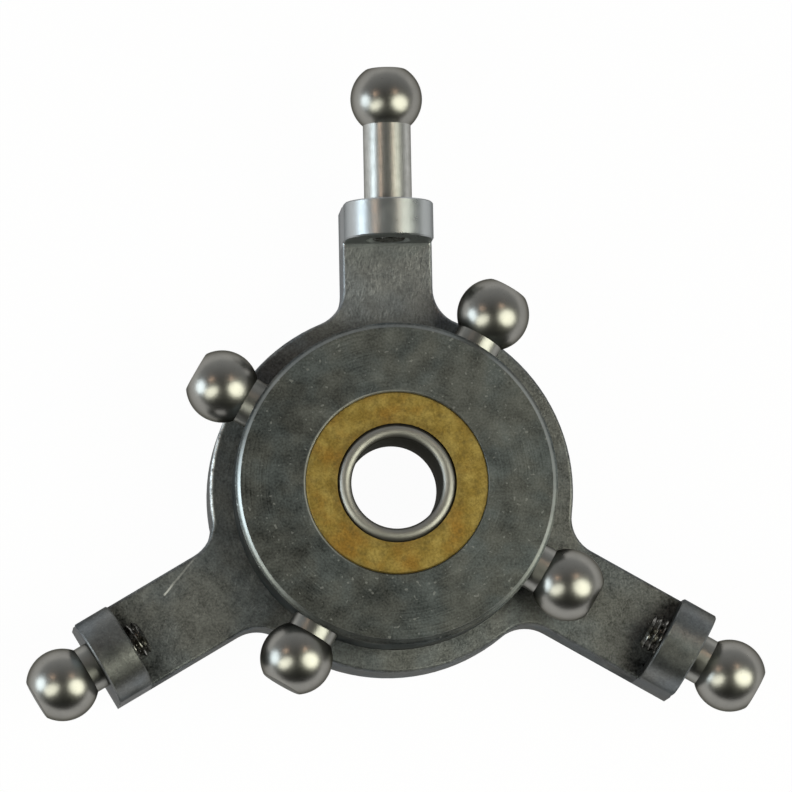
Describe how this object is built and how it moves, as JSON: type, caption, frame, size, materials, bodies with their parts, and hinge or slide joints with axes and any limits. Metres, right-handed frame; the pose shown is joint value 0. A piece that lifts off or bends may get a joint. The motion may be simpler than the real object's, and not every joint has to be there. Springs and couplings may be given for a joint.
{
  "type": "helicopter swashplate",
  "caption": "Swashplate of a model helicopter: a fixed star with link balls, a rotating star on a ball bearing, and a tilting mast ball in a brass seat.",
  "frame": {"origin": "centre of the mast ball, on the mast's axis", "axes": "+Z along the mast towards the rotor head, +Y along the anti-rotation arm, +X to the right servo arm's side"},
  "size_m": [0.049, 0.0433, 0.0112],
  "materials": {
    "ball_steel": "fine turned, dull",
    "acetal": "moulded",
    "seat_brass": "faced, oil-stained",
    "dark_aluminium": "turned and tumbled, dark",
    "grey_aluminium": "tumbled, scuffed",
    "bearing_steel": "ground",
    "cage_nylon": "moulded",
    "shield_steel": "pressed",
    "spring_steel": "oiled black",
    "stud_steel": "polished"
  },
  "bodies": {
    "fixed_side": {"fixed_star": "grey_aluminium", "anti_rotation_ball_stud": "stud_steel", "left_servo_ball_stud": "stud_steel", "right_servo_ball_stud": "stud_steel", "bearing_outer_race": "bearing_steel", "bearing_upper_shield": "shield_steel", "bearing_lower_shield": "shield_steel", "bearing_snap_ring": "spring_steel"},
    "rotating_side": {"rotating_star": "dark_aluminium", "head_ball_stud_1": "stud_steel", "head_ball_stud_2": "stud_steel", "head_ball_stud_3": "stud_steel", "head_ball_stud_4": "stud_steel", "bearing_inner_race": "bearing_steel", "hub_snap_ring": "spring_steel", "shim_washer": "shield_steel", "upper_ball_race": "seat_brass", "lower_ball_race": "seat_brass"},
    "rolling_set": {"bearing_balls": "bearing_steel", "bearing_cage": "cage_nylon"},
    "slip_ring_carrier": {"slip_ring": "acetal"},
    "ball_on_mast": {"mast_ball": "ball_steel"}
  },
  "joints": [
    {"name": "rotor_spin", "type": "hinge", "parent": "fixed_side", "child": "rotating_side", "pos_m": [0, 0, 0], "axis": [0, 0, 1], "continuous": true},
    {"name": "rolling_set_spin", "type": "hinge", "parent": "fixed_side", "child": "rolling_set", "pos_m": [0, 0, 0], "axis": [0, 0, 1], "continuous": true},
    {"name": "tilt_left_right", "type": "hinge", "parent": "rotating_side", "child": "slip_ring_carrier", "pos_m": [0, 0, 0], "axis": [0, 1, 0], "range_deg": [-12, 12]},
    {"name": "tilt_fore_aft", "type": "hinge", "parent": "slip_ring_carrier", "child": "ball_on_mast", "pos_m": [0, 0, 0], "axis": [1, 0, 0], "range_deg": [-12, 12]}
  ],
  "couplings": [
    {"joint": "rolling_set_spin", "follows": "rotor_spin", "ratio": 0.4559}
  ]
}
